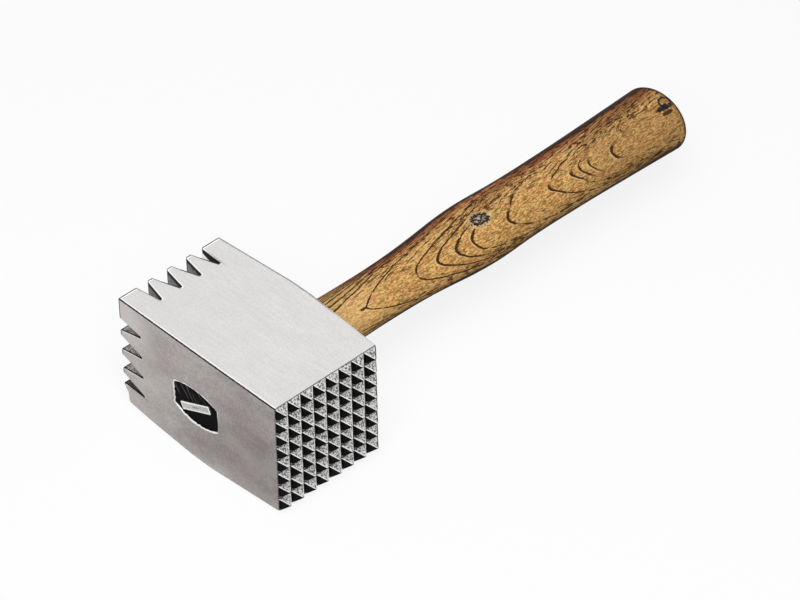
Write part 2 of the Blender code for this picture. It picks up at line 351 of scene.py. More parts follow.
def from_axis(points):
    """Return the points' x and y, and their z measured from the handle's axis."""
    return points[..., 0], points[..., 1], points[..., 2] - AXIS_HEIGHT


def eye_distance(points):
    """Return how far inside the leaning eye points are: the lesser to an end and an arch."""
    x, _, z = from_axis(points - lean(points))
    half_width, corner, rise, radius = eye_arch(0)
    arch = radius - np.hypot(x, np.abs(z) + radius - rise - corner)
    return np.minimum(half_width - np.abs(x), arch)


def side_depths(points):
    """Return how deep points are under the front or back, and under the top or bottom."""
    x, y, z = from_axis(points)
    below_face = half_size(x, DEPTHS) - np.abs(y)
    return below_face, half_size(x, HEIGHTS) - np.abs(z)


def groove_depths(points, width=HAIR):
    """Return how deep points are in the nearest upright groove, and in the nearest level one."""
    x, y, z = from_axis(points)
    return [
        np.max([groove_distance(x, across, shares, size, width) for shares in grooves], axis=0)
        for across, size, grooves in (
            (y, END_DEPTH, UPRIGHT_GROOVES), (z, END_HEIGHT, LEVEL_GROOVES),
        )
    ]


def head_distance(points, rounded=1.0):
    """Return how far points are outside the head, with its edges rounded by the given share.

    Sides, ends, grooves, eye and chamfer are each a distance, and the largest of them all, softly
    blended, is the head's.
    """
    x, y, z = from_axis(points)
    edge, floor, mouth, blunt = (
        rounded * width + HAIR for width in (EDGE_ROUND, FLOOR_ROUND, EYE_ROUND, TOOTH_ROUND)
    )
    below_face, below_top = side_depths(points)
    outside = soft_max(-below_face, -below_top, edge)
    low = ramp(-z, LOW_START, LOW_SPAN)
    outside = soft_max(outside, -x - COARSE_REACH, edge + rounded * LOW_ROUND * low)
    facing = math.hypot(1, 2 * POINT_HEIGHT * POINT_ROWS / END_DEPTH)
    outside = soft_max(outside, (x - FINE_REACH - point_height(y, z, rounded)) / facing, edge)
    depths = groove_depths(points, floor)
    for depth in depths:
        outside = soft_max(outside, depth, edge)
    outside = np.maximum(outside, soft_max(-x - COARSE_REACH, depths[0], blunt))
    in_eye = eye_distance(points)
    outside = soft_max(outside, in_eye, mouth)
    chamfer = EYE_CHAMFER * (1 + 0.4 * noise(points, 2 * MM, 5))
    return soft_max(outside, (in_eye + chamfer - below_face) / math.sqrt(2), mouth)


def steepest(points, rounded=1.0, step=0.004 * MM):
    """Return the head's distance at points, and the direction in which it grows, by small steps."""
    here = head_distance(points, rounded)
    slopes = [(head_distance(points + step * axis, rounded) - here) / step for axis in np.eye(3)]
    return here, np.stack(slopes, axis=1)


# %% [markdown]
# ## Head: points on the sharp shape
# The coarse end is a height field: the depth under a spot is the deeper of the upright and the
# level groove there. Its grid lines are not even. They crowd at the lips and floors, where the
# surface turns, and both directions use the same steps down a wall, so that the teeth's corners run
# exactly through grid points.

# %% Grid lines across the coarse end
WALL_STEPS = np.array([0, .008, .02, .045, .1, .18, .27, .37, .48, .59, .7, .8, .88, .94, .975, 1])
LIP_ROWS = np.array([0.12, 0.3, 0.65, 1.1]) * MM
RIM_ROWS = np.array([0, 0.18, 0.45, 0.9, 1.6, 2.6, 4.2]) * MM


def groove_lines(grooves, size):
    """Return grid lines across the end, and the share of the groove's depth at each line.

    Rim rows, then for each groove lip rows, one wall down, the floor, the other wall up and lip
    rows again, then rim rows.
    """
    places, depths = [RIM_ROWS - size / 2], [0 * RIM_ROWS]
    for shares in grooves:
        first, floor, second = ((share - 0.5) * size for share in shares)
        places.append(first - LIP_ROWS[::-1])
        places.append(first + (floor - GROOVE_FLOOR / 2 - first) * WALL_STEPS)
        places.append(np.array([floor]))
        places.append(second - (second - floor - GROOVE_FLOOR / 2) * WALL_STEPS[::-1])
        places.append(second + LIP_ROWS)
        depths += [0 * LIP_ROWS, WALL_STEPS, np.ones(1), WALL_STEPS[::-1], 0 * LIP_ROWS]
    places.append(size / 2 - RIM_ROWS[::-1])
    depths.append(0 * RIM_ROWS)
    return np.concatenate(places), np.concatenate(depths)


def rim_side(lines):
    """Return -1 for the rows at the low rim, 1 for those at the high rim and 0 between."""
    side = np.zeros(len(lines))
    side[:len(RIM_ROWS)], side[-len(RIM_ROWS):] = -1, 1
    return side


Y_LINES, Y_DEPTHS = groove_lines(UPRIGHT_GROOVES, END_DEPTH)
Z_LINES, Z_DEPTHS = groove_lines(LEVEL_GROOVES, END_HEIGHT)
print("Grid lines across the coarse end:", len(Y_LINES), "x", len(Z_LINES))


# %% Points of the coarse end, the sides and the fine end
def spread(lines, x, sizes):
    """Return the grid lines at x, with the rim rows moved out to where the taper puts the edge."""
    return lines + rim_side(lines) * (half_size(x, sizes) - sizes[1] / 2)


def coarse_end():
    """Return the coarse end's points as rows of y and columns of z, and which way quads split."""
    x = GROOVE_DEPTH * np.maximum(Y_DEPTHS[:, None], Z_DEPTHS[None, :]) - COARSE_REACH
    y = np.stack([spread(Y_LINES, column, DEPTHS) for column in x.T], axis=1)
    z = np.stack([spread(Z_LINES, row, HEIGHTS) for row in x])
    rising = np.diff(Y_DEPTHS)[:, None] * np.diff(Z_DEPTHS)[None, :] >= 0
    return xyz(x, y, z), rising


START_ROWS = np.array([0, 0.15, 0.4, 0.8, 1.5, 3]) * MM
EYE_WINDOW, WINDOW_RISE = 19.5 * MM, 14 * MM
ROWS_BEFORE_EYE, EYE_ROWS = 3, 23
SIDE_ROWS = np.concatenate([
    np.array([-34.5, -29, -24]) * MM,
    np.linspace(-EYE_WINDOW, EYE_WINDOW, EYE_ROWS),
    np.array([24, 31, 38, 44, 47, 48.2, 48.6, 48.9]) * MM,
])


def side_rows(depths):
    """Return x on a side: a few rows that follow the notched rim, then level ones."""
    start = GROOVE_DEPTH * depths - COARSE_REACH
    behind = start[None, :] + START_ROWS[:, None]
    level = np.broadcast_to(SIDE_ROWS[:, None], (len(SIDE_ROWS), len(depths)))
    return np.concatenate([behind, level])


def side_grid(lines, depths, sizes, other_sizes):
    """Return a side's x, its places along the grid lines, and its distance from the middle."""
    x = side_rows(depths)
    across = np.stack([spread(lines, row, sizes) for row in x])
    return x, across, half_size(x, other_sizes)


POINT_STEPS = 20


def fine_end():
    """Return the fine end's points as rows of y and columns of z, and which way quads split.

    A point's four creases run along the grid's diagonals, so quads split along them.
    """
    count = POINT_ROWS * POINT_STEPS + 1
    y, z = np.linspace(-0.5, 0.5, count) * END_DEPTH, np.linspace(-0.5, 0.5, count) * END_HEIGHT
    y, z = np.meshgrid(y, z, indexing="ij")
    half = (np.arange(count - 1) // (POINT_STEPS // 2)) % 2
    rising = half[:, None] == half[None, :]
    return xyz(FINE_REACH + point_height(y, z), y, z), rising


# %% [markdown]
# ## Head: the eye
# The eye's short ends are straight and its long sides are arched, and its mouth has a small
# chamfer. A Boolean would cut it in one step, but leaves long thin faces round the hole. Here a
# window is left open in the front's grid, and rings run from the window's border to the eye, over
# the chamfer and on to the middle of the head. Each corner of the window leads to a corner of the
# eye.

# %% Rings from the window into the eye
MOUTH_ROWS = np.array([
    (1.5, 0), (1.05, 0), (0.8, 0), (0.68, 0), (0.6, 0), (0.5, 0.1), (0.3, 0.3), (0.1, 0.5),
    (0, 0.6), (0, 0.72), (0, 1.0), (0, 1.6), (0, 3), (0, 8), (0, 18),
]) * MM


def eye_loop(side, share, outset):
    """Return the eye's outline at shares along its right end, top, left end or bottom (0 to 3).

    On an arch of radius r the height is sqrt(r^2 - x^2) - r plus the height of its middle.
    """
    half_width, corner, rise, radius = eye_arch(outset)
    swing = 1 - 2 * share
    sides = [side == 0, side == 1, side == 2]
    x = np.select(sides, [half_width, half_width * swing, -half_width], -half_width * swing)
    arch = np.sqrt(radius**2 - np.minimum(np.abs(x), half_width)**2) - radius + rise + corner
    z = np.select(sides, [-corner * swing, arch, corner * swing], -arch)
    return x, z


def window_border(points, low_row, high_row, low_column, high_column):
    """Return the border's rows and columns round the window, with each point's side and share."""
    rows = np.arange(low_row, high_row + 1)
    columns = np.arange(low_column, high_column + 1)
    x, z = points[rows, low_column, 0], points[low_row, columns, 2]
    across, up = (x - x[0]) / (x[-1] - x[0]), (z - z[0]) / (z[-1] - z[0])
    loop = [
        (np.full(len(columns), high_row), columns, up),
        (rows[::-1], np.full(len(rows), high_column), (1 - across)[::-1]),
        (np.full(len(columns), low_row), columns[::-1], (1 - up)[::-1]),
        (rows, np.full(len(rows), low_column), across),
    ]
    parts = [
        np.stack([row[:-1], column[:-1], np.full(len(row) - 1, side), share[:-1]])
        for side, (row, column, share) in enumerate(loop)
    ]
    return np.concatenate(parts, axis=1)


def eye_rings(border_points, side, share):
    """Return rings from the window's border, over the chamfer and in to the head's mid-plane."""
    rings = [border_points]
    for outset, depth in MOUTH_ROWS:
        x, z = eye_loop(side, share, outset)
        rings.append(xyz(x, depth - half_size(x, DEPTHS), z))
    rings.append(rings[-1] * (1, 0, 1))
    return np.stack(rings)


# %% [markdown]
# ## Head: one closed skin
# The coarse end, four sides, two mouths of the eye and the fine end are put in one list. The back
# repeats the front with y turned round, and the bottom repeats the top. Where the sides meet the
# fine points the two grids have different lines, and a zipper of triangles joins them.

# %% Gather the patches
patches, faces, start = [], [], 0


def add_patch(points, triangles):
    """Add a patch of points, with triangles numbered from its own first point."""
    global start
    patches.append(points.reshape(-1, 3))
    faces.append(triangles + start)
    start += points.size // 3


def numbered(points):
    """Return the points' numbers in the shape of their grid."""
    return np.arange(points.size // 3).reshape(points.shape[:-1])


coarse, rising = coarse_end()
add_patch(coarse, grid_triangles(numbered(coarse), rising))
fine, rising = fine_end()
add_patch(fine, grid_triangles(numbered(fine), rising))

x, across, out = side_grid(Z_LINES, Z_DEPTHS, HEIGHTS, DEPTHS)
front = xyz(x, -out, across)
top = xyz(*side_grid(Y_LINES, Y_DEPTHS, DEPTHS, HEIGHTS))
eye_low = len(START_ROWS) + ROWS_BEFORE_EYE
eye_high = eye_low + EYE_ROWS - 1
edges = (-WINDOW_RISE, WINDOW_RISE)
low_column, high_column = (int(np.abs(Z_LINES - edge).argmin()) for edge in edges)
row, column, side, share = window_border(front, eye_low, eye_high, low_column, high_column)
row, column = row.astype(int), column.astype(int)
numbers = numbered(front)
window = np.zeros(np.array(front.shape[:2]) - 1, bool)
window[eye_low:eye_high, low_column:high_column] = True
front_faces = grid_triangles(numbers)[~np.tile(window.ravel(), 2)]
rings = eye_rings(front[row, column], side, share)
ring_faces = grid_triangles(np.pad(numbered(rings), ((0, 0), (0, 1)), mode="wrap"))

for mirror in ((1, 1, 1), (1, -1, 1)):
    add_patch(front * mirror, front_faces)
    mouth = rings * mirror
    mouth[1:] += lean(mouth[1:])
    add_patch(mouth, ring_faces)
for mirror in ((1, 1, 1), (1, 1, -1)):
    add_patch(top * mirror, grid_triangles(numbered(top)))
print("Patches:", len(patches), "with", start, "points")

# %% Zip the sides to the fine end
for edge, rim, axis in (
    (front[-1], fine[0], 2), (front[-1] * (1, -1, 1), fine[-1], 2),
    (top[-1], fine[:, -1], 1), (top[-1] * (1, 1, -1), fine[:, 0], 1),
):
    strip = np.concatenate([edge, rim])
    edge_along = (edge[:, axis] - edge[0, axis]) / np.ptp(edge[:, axis])
    rim_along = (rim[:, axis] - rim[0, axis]) / np.ptp(rim[:, axis])
    first, second = np.arange(len(edge)), len(edge) + np.arange(len(rim))
    add_patch(strip, zipper(edge_along, first, rim_along, second))

# %% Pull the points onto the rounded head
PULLS = 4
LEAST_STEEP = 0.25
skin = np.concatenate(patches) + (0, 0, AXIS_HEIGHT)
for _ in range(PULLS):
    distance, slope = steepest(skin)
    steep = np.maximum((slope**2).sum(axis=1), LEAST_STEEP)
    skin -= (distance / steep)[:, None] * slope
furthest = float(np.abs(head_distance(skin)).max())
print(f"Furthest point from the rounded head: {furthest / MM:.4f} mm")

head_mesh = welded_mesh("head_casting", skin, np.concatenate(faces))

# %% [markdown]
# ## Head: painted light and shade, and the skin of the mould
# Lips, creases and the eye's rim get painted highlights; outermost rims, valleys, groove floors,
# far lips and the long front edge get painted shade, and the points' front and back flanks are
# painted in shade. The grooves keep the dark skin of the mould, darkened further as painted shade.
# The formulas above tell these places apart, because each is a distance. They are stored on the
# mesh in millimetres, and the metal decides where a line starts and ends: a line drawn so can be
# thinner than a face of the mesh.


# %% Store painted highlights, painted shade and skin
def near(distance, width):
    """Return 1 at no distance, falling evenly to 0 at the given width."""
    return np.clip(1 - np.abs(distance) / width, 0, 1)


def in_mm(distance):
    """Return a distance in millimetres, at most 5 either way."""
    return np.clip(distance / MM, -5, 5)


points = mesh_points(head_mesh)
_, normals = steepest(points)
normals /= np.linalg.norm(normals, axis=1)[:, None]
below_face, below_top = side_depths(points)
inside = np.minimum(below_face, below_top)
upright, level = groove_depths(points)
from_groove = -np.maximum(upright, level)
from_end = points[:, 0] + COARSE_REACH
back_edge = np.where(points[:, 1] > 0, 0.5, 1.0)
off_edge = np.abs(below_face - below_top) * back_edge + 4 * np.clip(inside - 0.4 * MM, 0, None)
store(
    head_mesh,
    past_lip=in_mm(inside - from_groove),
    past_end=in_mm(np.minimum(inside, from_groove) - from_end),
    past_mouth=in_mm(eye_distance(points) + np.minimum(below_face, 5 * MM)),
    off_edge=in_mm(off_edge),
)
STEP = 0.05 * MM
to_back = groove_depths(points + (0, STEP, 0))[0] > upright
to_low = groove_depths(points + (0, 0, STEP))[1] < level
hidden_lip = np.where(upright > level, to_back, to_low)
coarse_part = from_end < GROOVE_DEPTH + MM
in_groove = ramp(inside, 0, 0.25 * MM) * coarse_part * near(from_groove, MM)
upright_wall = np.abs(normals[:, 1])
store(head_mesh, hidden_lip=hidden_lip, groove_skin=in_groove, upright_wall=upright_wall)

# %% Store the same for the fine points
fine_part = ramp(points[:, 0], FINE_REACH - 0.2 * MM, 0.4 * MM)
_, y, z = from_axis(points)
ridges = [
    ridge_height(across, size, HAIR, HAIR) * size / (2 * POINT_ROWS * POINT_HEIGHT)
    for across, size in ((y, END_DEPTH), (z, END_HEIGHT))
]
from_valley = np.minimum(*ridges)
before_tip, above_tip = (
    across / (size / POINT_ROWS) % 1 - 0.5 for across, size in ((y, END_DEPTH), (z, END_HEIGHT))
)
crease = near(ridges[0] - ridges[1], 0.6 * MM) * ramp(from_valley, 0, 0.3 * MM) * fine_part
last_column = (points[:, 1] > END_DEPTH / 2 - END_DEPTH / POINT_ROWS) & (before_tip > 0)
# Painted highlights on the creases above each tip, a little weaker behind it, and none in the last
# column.
bright = crease * (above_tip > 0) * np.where(before_tip > 0, 0.85, 1.0) * ~last_column
# Painted shade as dark lines: along the fine end's edges with the top and bottom, in the valleys,
# under each tip's lower creases and on all creases of the last column.
dark_line = np.maximum.reduce([
    near(points[:, 0] - FINE_REACH, 0.5 * MM) * near(below_top, 0.6 * MM),
    near(from_valley, 0.62 * MM) * fine_part * (inside > 0.1 * MM),
    0.6 * crease * (above_tip < 0),
    np.clip(1.6 * crease, 0, 1) * last_column,
])
# The points' front and back flanks are painted in shade; on the front flanks it stops short of the
# bottom of each row.
facing_front = ramp(-normals[:, 1], 0.25, 0.2)
facing_front *= ramp(above_tip * END_HEIGHT / POINT_ROWS, -2.8 * MM, 0.4 * MM)
facing_back = ramp(normals[:, 1], 0.35, 0.25)
within = fine_part * ramp(inside, 0, 0.1 * MM)
store(
    head_mesh,
    bright_rim=bright,
    dark_line=dark_line,
    point_skin=fine_part,
    dark_flank=np.maximum(facing_front, facing_back) * within,
    facet_gap=in_mm(np.minimum(np.abs(ridges[0] - ridges[1]), from_valley)),
)
head_mesh.normals_split_custom_set_from_vertices(normals.tolist())
print("Share of the skin in grooves:", round(float(in_groove.mean()), 3))

# %% [markdown]
# ## Handle: form
# The handle is turned and sanded from one stick. Its tenon has the eye's outline. Behind the head
# the section becomes an oval that swells for the palm, thins at the waist and flares to the butt. A
# lathe tool can't make an oval, so the surface is a loft: an outline carried along the handle, with
# widths from a smooth curve through a few measured stations.

# %% Sizes of the handle
CLEARANCE = 0.3 * MM
TIGHT_WELD = 1e-6 * MM
TENON_END = -30.7 * MM
SHOULDER = 31.8 * MM
SHOULDER_OVERHANG = 1.4 * MM
SHOULDER_BLEND = 18 * MM
BUTT_START = 256.8 * MM
BUTT_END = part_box("wooden_handle")[1].y
STATIONS = SHOULDER + np.array([0, 0.192, 0.321, 0.468, 0.561, 0.685, 1]) * (BUTT_START - SHOULDER)
WIDTHS = np.array([30.6, 28.9, 31.0, 35.8, 34.4, 34.0, 37.4]) * MM
THICKNESSES = np.array([21.8, 20.8, 22.9, 27.8, 26.9, 26.8, 31.0]) * MM
END_STEPS, ARCH_STEPS, GRIP_RINGS = 32, 64, 380


def spline(places, values, wanted):
    """Return values at the wanted places, on the natural cubic spline through the given ones."""
    gaps = np.diff(places)
    slopes = np.diff(values) / gaps
    matrix = np.diag(2 * (gaps[:-1] + gaps[1:])) + np.diag(gaps[1:-1], 1) + np.diag(gaps[1:-1], -1)
    bends = np.concatenate([[0], np.linalg.solve(matrix, 6 * np.diff(slopes)), [0]])
    span = np.clip(np.searchsorted(places, wanted, side="right") - 1, 0, len(gaps) - 1)
    along, width = wanted - places[span], gaps[span]
    first = slopes[span] - width * (2 * bends[span] + bends[span + 1]) / 6
    third = (bends[span + 1] - bends[span]) / (6 * width)
    return values[span] + along * (first + along * (bends[span] / 2 + along * third))


# %% Outlines and rings of the handle
side_numbers = np.repeat(np.arange(4), [END_STEPS, ARCH_STEPS, END_STEPS, ARCH_STEPS])
side_shares = np.concatenate([
    np.arange(steps) / steps for steps in (END_STEPS, ARCH_STEPS, END_STEPS, ARCH_STEPS)
])


def eye_outline(outset):
    """Return the eye's outline as x and z, moved out by outset."""
    return np.stack(eye_loop(side_numbers, side_shares, outset), axis=-1)


eye_shape = eye_outline(0)
TURNS = np.arctan2(eye_shape[:, 1] / EYE_HEIGHT, eye_shape[:, 0] / EYE_WIDTH)
ROUND = np.stack([np.cos(TURNS), np.sin(TURNS)], axis=-1)


def handle_rings():
    """Return the handle's rings as an array of rings, points and x, y, z.

    The grip's outline is (width cos t, thickness sin t) / 2. Near the shoulder it is blended with
    the eye's outline by the share 3s^2 - 2s^3. The butt is half a flattened ball.
    """
    tenon = eye_outline(-CLEARANCE)
    cap = [(tenon * scale, TENON_END) for scale in (1e-4, 0.2, 0.4, 0.6, 0.8, 0.93, 0.985)]
    cap += [(tenon, TENON_END + 0.2 * MM)]
    cap += [(tenon, y) for y in np.linspace(TENON_END + MM, SHOULDER, 9)]
    y = np.linspace(SHOULDER, BUTT_START, GRIP_RINGS)
    blend = ramp(y, SHOULDER, SHOULDER_BLEND)
    blend = (blend * blend * (3 - 2 * blend))[:, None, None]
    sizes = np.stack([spline(STATIONS, WIDTHS, y), spline(STATIONS, THICKNESSES, y)], axis=-1) / 2
    grip = (1 - blend) * eye_outline(SHOULDER_OVERHANG) + blend * ROUND * sizes[:, None, :]
    sweep = np.radians(np.concatenate([np.linspace(3, 87, 29), [88.8, 89.99]]))
    dome = np.cos(sweep)[:, None, None] * (ROUND * sizes[-1])
    dome_y = BUTT_START + np.sin(sweep) * (BUTT_END - BUTT_START)
    outlines = np.concatenate([np.stack([outline for outline, _ in cap]), grip, dome])
    places = np.concatenate([[place for _, place in cap], y, dome_y])
    return xyz(outlines[..., 0], places[:, None], outlines[..., 1] + AXIS_HEIGHT)


def capped(rings):
    """Return the points and triangles of a stack of rings, each end closed to a middle point."""
    around = np.pad(numbered(rings), ((0, 0), (0, 1)), mode="wrap")
    middles = np.array([rings[0].mean(axis=0), rings[-1].mean(axis=0)])
    count = rings.size // 3
    caps = [
        np.stack([around[0, 1:], around[0, :-1], np.full(rings.shape[1], count)], axis=-1),
        np.stack([around[-1, :-1], around[-1, 1:], np.full(rings.shape[1], count + 1)], axis=-1),
    ]
    points = np.concatenate([rings.reshape(-1, 3), middles])
    return points, np.concatenate([grid_triangles(around), *caps])


rings = handle_rings()
wave = 0.07 * MM * noise(rings, 11 * MM, 5) * ramp(rings[..., 1], 40 * MM, 10 * MM)
rings[..., 0] -= wave * np.sign(rings[..., 0]) * np.clip(BUTT_START / rings[..., 1], 0, 1)
rings += lean(rings)
handle_mesh = welded_mesh("handle_stick", *capped(rings), TIGHT_WELD)

# %% [markdown]
# ## Wedge: form
# The wedge is a short piece of flat bar, ground to a taper and hammered in. Hammering rolls its rim
# over a little and leaves the face slightly hollow. A cube with a bevel would be too regular, so
# its outline, a rectangle with round corners, is carried from the face down to the thin end.

# %% Sizes and rings of the wedge
WEDGE_ENDS = np.array([[-8.9, -4.1], [9.8, 4.2]]) * MM
WEDGE_THICKNESS, WEDGE_TIP_THICKNESS = 4.2 * MM, 1.2 * MM
WEDGE_DEPTH = 22 * MM
WEDGE_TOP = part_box("metal_wedge")[0].y
WEDGE_MIDDLE = WEDGE_ENDS.mean(axis=0)
WEDGE_SPAN = WEDGE_ENDS[1] - WEDGE_ENDS[0]
WEDGE_WIDTH = float(np.hypot(*WEDGE_SPAN))
WEDGE_CORNER = 0.4 * MM
RUN_STEPS = 14


def bar_outline(half_width, half_thickness, corner, count=24):
    """Return a rectangle with round corners: four quarter circles and the straight runs between."""
    corner = min(corner, 0.7 * half_thickness)
    turns = np.linspace(0, math.pi / 2, count // 4)
    quarter = corner * np.stack([np.cos(turns), np.sin(turns)], axis=-1)
    inner = np.array([half_width - corner, half_thickness - corner])
    turned = quarter[::-1] + inner
    quarters = [quarter + inner, turned * (-1, 1), -quarter - inner, turned * (1, -1)]
    steps = np.linspace(0, 1, RUN_STEPS + 2)[1:-1, None]
    runs = [
        quarters[side][-1] * (1 - steps) + quarters[(side + 1) % 4][0] * steps for side in range(4)
    ]
    return np.concatenate([part for pair in zip(quarters, runs) for part in pair])


def bar_rings(rows):
    """Return rings of the tapered bar for rows of (inset from the taper, depth below its face)."""
    outlines, places = [], []
    for inset, depth in rows:
        share = ramp(depth, 0, WEDGE_DEPTH)
        thickness = WEDGE_THICKNESS + (WEDGE_TIP_THICKNESS - WEDGE_THICKNESS) * share
        outlines.append(bar_outline(WEDGE_WIDTH / 2 - inset, thickness / 2 - inset, WEDGE_CORNER))
        places.append(WEDGE_TOP + depth)
    flat = np.stack(outlines)
    along, up = WEDGE_SPAN / WEDGE_WIDTH
    x = WEDGE_MIDDLE[0] + flat[..., 0] * along - flat[..., 1] * up
    z = WEDGE_MIDDLE[1] + flat[..., 0] * up + flat[..., 1] * along + AXIS_HEIGHT
    bar = xyz(x, np.array(places)[:, None], z)
    return bar + lean(bar)


HAMMERED_FACE = np.array([
    (1.8, 0.12), (1.3, 0.11), (0.85, 0.08), (0.5, 0.03), (0.32, 0), (0.17, 0.03), (0.06, 0.1),
    (0.01, 0.22), (0.01, 0.45), (0.05, 0.8),
]) * MM
TAPER = np.stack([np.full(12, 0.06 * MM), np.linspace(1.2 * MM, WEDGE_DEPTH, 12)], axis=-1)
wedge_rings = bar_rings(np.concatenate([HAMMERED_FACE, TAPER]))
wedge_rings[:4, :, 1] += 0.05 * MM * noise(wedge_rings[:4], 1.6 * MM, 8)
wedge_rings[..., 1] = np.maximum(wedge_rings[..., 1], WEDGE_TOP)
wedge_mesh = welded_mesh("wedge_bar", *capped(wedge_rings), TIGHT_WELD)
points = mesh_points(wedge_mesh)
spot = (points - lean(points))[:, [0, 2]] - WEDGE_MIDDLE - (0, AXIS_HEIGHT)
axes = np.stack([WEDGE_SPAN, WEDGE_SPAN[::-1] * (-1, 1)], axis=1) / WEDGE_WIDTH
inset = ((WEDGE_WIDTH, WEDGE_THICKNESS) - 2 * np.abs(spot @ axes)).min(axis=1) / 2
# The rim is stored for a painted highlight.
store(wedge_mesh, bright_rim=near(inset, 1.3 * MM) * (points[:, 1] < WEDGE_TOP + 0.6 * MM))

# %% [markdown]
# ## Handle: the slot for the wedge
# The driven wedge has opened a slot in the end of the tenon. A Boolean is the plain way to cut it:
# the cutter is the wedge's own bar, a hair thicker.

# %% Cut the slot
SLOT_GAP = 0.1 * MM
SHARP_TURN = math.radians(40)


def cut_from(mesh, points, triangles):
    """Return the mesh with a closed shape taken out of it by an exact Boolean."""
    cutter_mesh = welded_mesh("slot", points, triangles, TIGHT_WELD)
    items = [add_object(part.name, part) for part in (mesh, cutter_mesh)]
    step = items[0].modifiers.new("slot", "BOOLEAN")
    step.solver, step.operation, step.object = "EXACT", "DIFFERENCE", items[1]
    graph = bpy.context.evaluated_depsgraph_get()
    result = bpy.data.meshes.new_from_object(items[0].evaluated_get(graph))
    for item in items:
        bpy.data.objects.remove(item)
    return result


slot_depths = (0, WEDGE_DEPTH / 2, WEDGE_DEPTH + SLOT_GAP)
slot_rows = np.array([(-SLOT_GAP, depth) for depth in slot_depths])
handle_mesh = cut_from(handle_mesh, *capped(bar_rings(slot_rows)))
handle_mesh.shade_smooth()
handle_mesh.set_sharp_from_angle(angle=SHARP_TURN)
print("Handle faces after the slot:", len(handle_mesh.polygons))

# %% [markdown]
# ## Handle: growth rings
# The stick was sawn flat from the outside of a tree, so its best face shows nested arches where
# the rings come out of the wood at a shallow angle, and its flanks show long close lines. A wave
# texture gives rings that are all alike. Here each point gets a ring number: its distance from the
# tree's pith, which lies behind the handle, is turned into the place along the best face where that
# ring comes out, and the rings are counted from a list of such places.

# %% Number the rings at every point
PITH_TURN, FACE_TURN, FOLD_TURN = (math.radians(angle) for angle in (45, 39, 5))
BUTT_TURN, HEART_TURN, UNDER_TURN = (math.radians(angle) for angle in (50, 195, -90))
PITH_DISTANCE = 40 * MM
GRIP_RADIUS = 15 * MM
RING_SLOPE = 0.12
ARCH_PLACES = [31, 57, 92.7, 107.4, 117.8, 126.3, 147.3, 178.3, 192.8, 198.2, 204.5, 217.4, 290]
POINTED_ARCH = 62 * MM
EARLIER_GAPS = np.random.default_rng(7).uniform(6, 15, 40)
RING_PLACES = np.concatenate([ARCH_PLACES[0] - np.cumsum(EARLIER_GAPS)[::-1], ARCH_PLACES]) * MM


def ring_numbers(points):
    """Return a ring number for each point: whole numbers lie in the middle of the dark lines.

    The section is first made a circle. The distance d from the pith then gives the place
    y - (d at the best face - d) / slope, which is looked up in the list of places. Also return how
    far apart the lines are there, measured across them.
    """
    y = np.clip(points[:, 1], SHOULDER, BUTT_START)
    x = points[:, 0] / spline(STATIONS, WIDTHS, y) * 2 * GRIP_RADIUS
    z = (points[:, 2] - AXIS_HEIGHT) / spline(STATIONS, THICKNESSES, y) * 2 * GRIP_RADIUS
    stretched = points * (1, 0.35, 1)
    x = x + 0.7 * MM * noise(stretched, 9 * MM, 11)
    z = z + 0.7 * MM * noise(stretched, 9 * MM, 12)
    pith_x, pith_z = PITH_DISTANCE * math.cos(PITH_TURN), PITH_DISTANCE * math.sin(PITH_TURN)
    distance = np.hypot(x + pith_x, z + pith_z)
    place = points[:, 1] - (GRIP_RADIUS + PITH_DISTANCE - distance) / RING_SLOPE
    turn = np.arctan2(z, x) - PITH_TURN
    across = GRIP_RADIUS * np.abs(np.sin(turn - FOLD_TURN))
    place -= near(points[:, 1] - POINTED_ARCH, 26 * MM) * np.minimum(across, 6 * MM)
    place += 0.6 * MM * noise(points, 5 * MM, 13) + 0.3 * MM * noise(points, 2 * MM, 14)
    number = np.interp(place, RING_PLACES, np.arange(len(RING_PLACES)))
    gap = np.diff(RING_PLACES)[np.clip(number.astype(int), 0, len(RING_PLACES) - 2)]
    cross = np.sin(turn) * PITH_DISTANCE / (PITH_DISTANCE + GRIP_RADIUS) / RING_SLOPE
    return number, gap / np.hypot(1, cross)


points = mesh_points(handle_mesh)
turns = np.arctan2(points[:, 2] - AXIS_HEIGHT, points[:, 0])
off_face = np.abs((turns - FACE_TURN + math.pi) % (2 * math.pi) - math.pi)
number, gap = ring_numbers(points)
on_dome = (points[:, 1] - BUTT_START) / (BUTT_END - BUTT_START)
# The butt's rim is stored for painted shade, which starts sooner on the sides turned away from
# BUTT_TURN.
lower = 0.55 * (1 - np.cos(turns - BUTT_TURN)) * (1 - on_dome)
before_dome = 1 - np.clip(on_dome, 0, 1)
streaks = 0.1 * noise(points * (1, 0.25, 1), 5 * MM, 21)
# The heartwood side and the underside are stored for the heartwood's colour and for painted shade.
store(
    handle_mesh,
    ring=number,
    ring_gap=gap,
    off_face=np.degrees(off_face),
    butt_rim=np.where(on_dome > 0, on_dome + lower, 0),
    heartwood=np.cos(turns - HEART_TURN) * before_dome + streaks,
    underside=np.cos(turns - UNDER_TURN) * before_dome + 0.5 * streaks,
)
print("Rings on the handle:", len(RING_PLACES))

# %% [markdown]
# ## Materials: sums on nodes
# A material is a tree of nodes, and a sum drawn as linked Math nodes is hard to read. So here a
# node's output is wrapped in a small class that knows +, -, * and /. Each formula below is written
# as plain arithmetic, and every sign in it adds one Math node to the tree.


# %% Nodes, and numbers that vary over a surface
def node(tree, kind, inputs=None, **settings):
    """Add a node with its settings, and set or link its inputs by name or number."""
    made = tree.nodes.new("ShaderNode" + kind)
    for name, value in settings.items():
        setattr(made, name, value)
    for name, value in (inputs or {}).items():
        value = getattr(value, "socket", value)
        if isinstance(value, bpy.types.NodeSocket):
            tree.links.new(value, made.inputs[name])
        else:
            made.inputs[name].default_value = value
    return made


